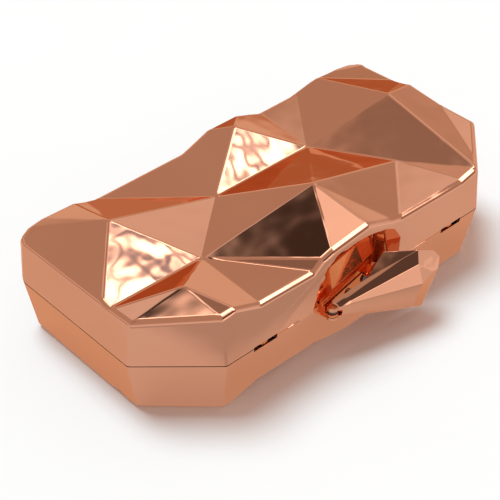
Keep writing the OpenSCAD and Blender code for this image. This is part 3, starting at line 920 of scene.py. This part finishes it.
@dataclass
class Floor:
    """The pale floor, which the mirror finish sees in painted tones of the room around it: to mirrored rays the
    floor glows as painted reflection, though it is no lamp.
    """

    horizon_level: float
    half_side: float = 3.0
    drift_scale: float = 6.0
    drift_reach: Reach = (0.3, 0.7)
    glow_share: float = 0.8
    near_level: float = 0.74
    front_level: float = 0.46
    front_reach: Reach = (-0.066, -0.084)
    side_reach: Reach = (0.075, 0.02)
    beyond_level: float = 1.0
    beyond_reach: Reach = (-0.22, -0.30)
    back_reach: Reach = (0.29, 0.37)

    def _reflected(self, graph: Graph) -> bpy.types.NodeSocket:
        """Paints the floor's reflection in the mirror finish: its near part, a plain painted brightness that mostly
        hides the floor's shadow, and painted strips in front (darker) and behind (a warm glow).

        Args:
            graph: The floor's nodes.

        Returns:
            The colour.
        """
        parts = graph.node("ShaderNodeSeparateXYZ", None, {0: graph.place()})
        depth = Value(graph, parts.outputs["Y"])
        # Painted reflection: a plain bright near part, which mostly hides the floor's shadow from the mirror
        # finish, and a darker painted strip in front.
        front = depth.ramp(*self.front_reach) * Value(graph, parts.outputs["X"]).ramp(*self.side_reach)
        tone = graph.blend(front, shade(Tone.WHITE, self.near_level), shade(Tone.WHITE, self.front_level))
        tone = graph.blend(depth.ramp(*self.beyond_reach), tone, shade(Tone.WHITE, self.beyond_level))
        return graph.blend(depth.ramp(*self.back_reach), tone, shade(Tone.EMBER, self.horizon_level))

    def _material(self) -> bpy.types.Material:
        """Builds the floor's finish: matte to the camera, and partly glowing to mirrored rays as painted
        reflection.

        Returns:
            The material.
        """
        material = bpy.data.materials.new("pale_floor")
        material.use_nodes = True
        graph = Graph(material.node_tree)
        drift = graph.noise(self.drift_scale).ramp(*self.drift_reach)
        colour = graph.blend(drift, shade(Tone.FLOOR), shade(Tone.FLOOR_PALE))
        matte = graph.node("ShaderNodeBsdfDiffuse", None, {"Color": colour})
        glow = graph.node("ShaderNodeEmission", None, {"Color": self._reflected(graph), "Strength": 1.0})
        path = graph.node("ShaderNodeLightPath")
        # Mirrored rays see mostly the painted glow, not the lit floor with its shadow.
        seen = Value(graph, path.outputs["Is Glossy Ray"]) * self.glow_share
        mix = graph.node("ShaderNodeMixShader", None, {0: seen, 1: matte.outputs[0], 2: glow.outputs[0]})
        graph.node("ShaderNodeOutputMaterial", None, {"Surface": mix.outputs[0]})
        return material

    def build(self) -> None:
        """Lays the floor, which keeps the object's shadow."""
        mesh = bmesh.new()
        bmesh.ops.create_grid(mesh, x_segments=1, y_segments=1, size=self.half_side)
        data = bpy.data.meshes.new("floor")
        mesh.to_mesh(data)
        mesh.free()
        data.materials.append(self._material())
        made = bpy.data.objects.new("floor", data)
        bpy.context.scene.collection.objects.link(made)


@dataclass
class Lamp:
    """The wide, soft lamp behind and above the case."""

    way: tuple[float, float] = (-10.0, 70.0)
    spread: float = 30.0
    power: float = 2.42

    def build(self) -> None:
        """Hangs the lamp, which the mirror finish doesn't show."""
        data = bpy.data.lights.new("key_lamp", "SUN")
        data.color = Tone.COOL_LIGHT.value
        data.energy = self.power
        data.angle = math.radians(self.spread)
        made = bpy.data.objects.new("key_lamp", data)
        made.rotation_mode = "QUATERNION"
        made.rotation_quaternion = direction(*self.way).to_track_quat("Z", "Y")
        made.location = (0.0, 0.0, 1.0)
        made.visible_glossy = False
        bpy.context.scene.collection.objects.link(made)


@dataclass
class Room:
    """The studio around the case, as the camera, matte pieces and the mirror finish see it.

    Each panel covers those before it. A panel brighter than a level shows the creases of the cloth over it.
    """

    horizon_level: float
    upper_level: float = 0.55
    low_level: float = 0.84
    low_reach: Reach = (0.45, 0.15)
    ember_reach: Reach = (0.12, 0.04)
    behind_reach: Reach = (0.1, 0.5)
    ambient: float = 0.56
    backdrop: float = 1.0
    creased_from: float = 2.0
    crease_level: float = 0.45
    crease_scale: float = 9.0
    crease_detail: float = 1.0
    crease_reach: Reach = (0.03, 0.008)
    panels: tuple[Panel, ...] = (
        Panel(59, 36, 8, 5, 0.88),
        Panel(146, 18, 12, 5, 0.36, Tone.ROOM),
        Panel(16, 56, 5, 2, 0.85),
        Panel(34, 71, 10, 2, 3.2),
        Panel(53, 60, 5, 3, 1.25),
        Panel(45, 50, 3, 2, 0.72, Tone.ROOM),
        Panel(85, 62, 11, 2, 4.8),
        Panel(112, 60, 11, 2, 4.8),
        Panel(132, 49, 10, 3, 4.8),
        Panel(69, 51, 5, 1, 4.8),
        Panel(74, 48, 2.2, 1.0, 0.30, Tone.MAUVE),
        Panel(64.5, 50, 1.6, 0.8, 0.45, Tone.MAUVE),
        Panel(97, 52.4, 2.0, 1.0, 0.30, Tone.MAUVE),
        Panel(90, 55, 1.4, 0.8, 0.45, Tone.MAUVE),
        Panel(21.5, 61.5, 3.4, 2.6, 0.06, Tone.ROOM),
        Panel(39.5, 57, 3.0, 1.5, 0.36, Tone.ROOM),
        Panel(-97, 61, 6, 3, 0.3, Tone.ROOM),
        Panel(166, 29, 13, 2, 0.12, Tone.ROOM),
        Panel(162, 5, 8, 3, 1.9),
    )

    def _walls(self, graph: Graph, way: bpy.types.NodeSocket) -> bpy.types.NodeSocket:
        """Paints the room without its panels: paler low down, with an ember glow along the back.

        Args:
            graph: The world's nodes.
            way: The direction that is looked in.

        Returns:
            The colour.
        """
        parts = graph.node("ShaderNodeSeparateXYZ", None, {0: way})
        height = Value(graph, parts.outputs["Z"])
        behind = Value(graph, parts.outputs["Y"]).ramp(*self.behind_reach)
        low = height.ramp(*self.low_reach)
        colour = graph.blend(low, shade(Tone.ROOM, self.upper_level), shade(Tone.WHITE, self.low_level))
        ember = height.ramp(*self.ember_reach) * behind
        return graph.blend(ember, colour, shade(Tone.EMBER, self.horizon_level))

    def _creases(self, graph: Graph, way: bpy.types.NodeSocket) -> Value:
        """Draws thin creases, as in the cloth over a bright panel.

        Args:
            graph: The world's nodes.
            way: The direction that is looked in.

        Returns:
            1 in a crease and 0 beside it.
        """
        inputs = {"Vector": way, "Scale": self.crease_scale, "Detail": self.crease_detail}
        wave = Value(graph, graph.node("ShaderNodeTexNoise", None, inputs).outputs["Fac"])
        return (wave - 0.5).at_least(0.5 - wave).ramp(*self.crease_reach)

    def _reflected(self, graph: Graph, way: bpy.types.NodeSocket) -> bpy.types.NodeSocket:
        """Paints what the mirror finish sees: the room with its panels.

        Args:
            graph: The world's nodes.
            way: The direction that is looked in.

        Returns:
            The colour.
        """
        colour = self._walls(graph, way)
        creases = self._creases(graph, way)
        for panel in self.panels:
            light = shade(panel.tone, panel.level)
            if panel.level > self.creased_from:
                light = graph.blend(creases, light, shade(Tone.MAUVE, self.crease_level))
            colour = graph.blend(panel.mask(graph, way), colour, light)
        return colour

    def build(self) -> None:
        """Builds the world from its three views."""
        world = bpy.data.worlds.new("studio")
        world.use_nodes = True
        bpy.context.scene.world = world
        graph = Graph(world.node_tree)
        way = graph.node("ShaderNodeTexCoord").outputs["Generated"]
        views = (
            (shade(Tone.WARM_SHADE), self.ambient),
            (self._reflected(graph, way), 1.0),
            (shade(Tone.WHITE), self.backdrop),
        )
        matte, mirrored, seen = (
            graph.node("ShaderNodeBackground", None, {"Color": colour, "Strength": strength}).outputs[0]
            for colour, strength in views
        )
        path = graph.node("ShaderNodeLightPath").outputs
        lit = graph.node("ShaderNodeMixShader", None, {0: path["Is Glossy Ray"], 1: matte, 2: mirrored})
        mix = graph.node("ShaderNodeMixShader", None, {0: path["Is Camera Ray"], 1: lit.outputs[0], 2: seen})
        graph.node("ShaderNodeOutputWorld", None, {"Surface": mix.outputs[0]})


@dataclass
class Studio:
    """Camera, floor, room and lamp."""

    seam_height: float
    horizon_level: float = 0.5

    def build(self) -> None:
        """Builds the whole studio."""
        Camera(self.seam_height).build()
        Floor(self.horizon_level).build()
        Room(self.horizon_level).build()
        Lamp().build()
        bpy.context.scene.view_settings.view_transform = "Standard"


def main() -> None:
    """Loads the frame, builds every piece and the studio, and notes the sizes."""
    logging.basicConfig(level=logging.INFO, format="%(name)s: %(message)s")
    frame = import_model()
    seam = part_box("base_frame")[1].z
    # The cast finish is the plates' own, partly painted; on the pocket walls it is painted reflection of light
    # bouncing in the recess.
    cast = CAST_AND_POCKET_REFLECTION.material()
    made = Shells(seam).build(MIRROR.material(), cast)
    made += Clasp().build(CRYSTAL.material(), cast)
    made += Trays().build(VELVET.material())
    made += Fittings().build(frame["nodes"], frame["record"]["subparts"])
    Studio(seam_height=seam).build()
    for piece in made:
        LOG.info("%s: %d faces", piece.name, len(piece.data.polygons))


if __name__ == "__main__":
    main()
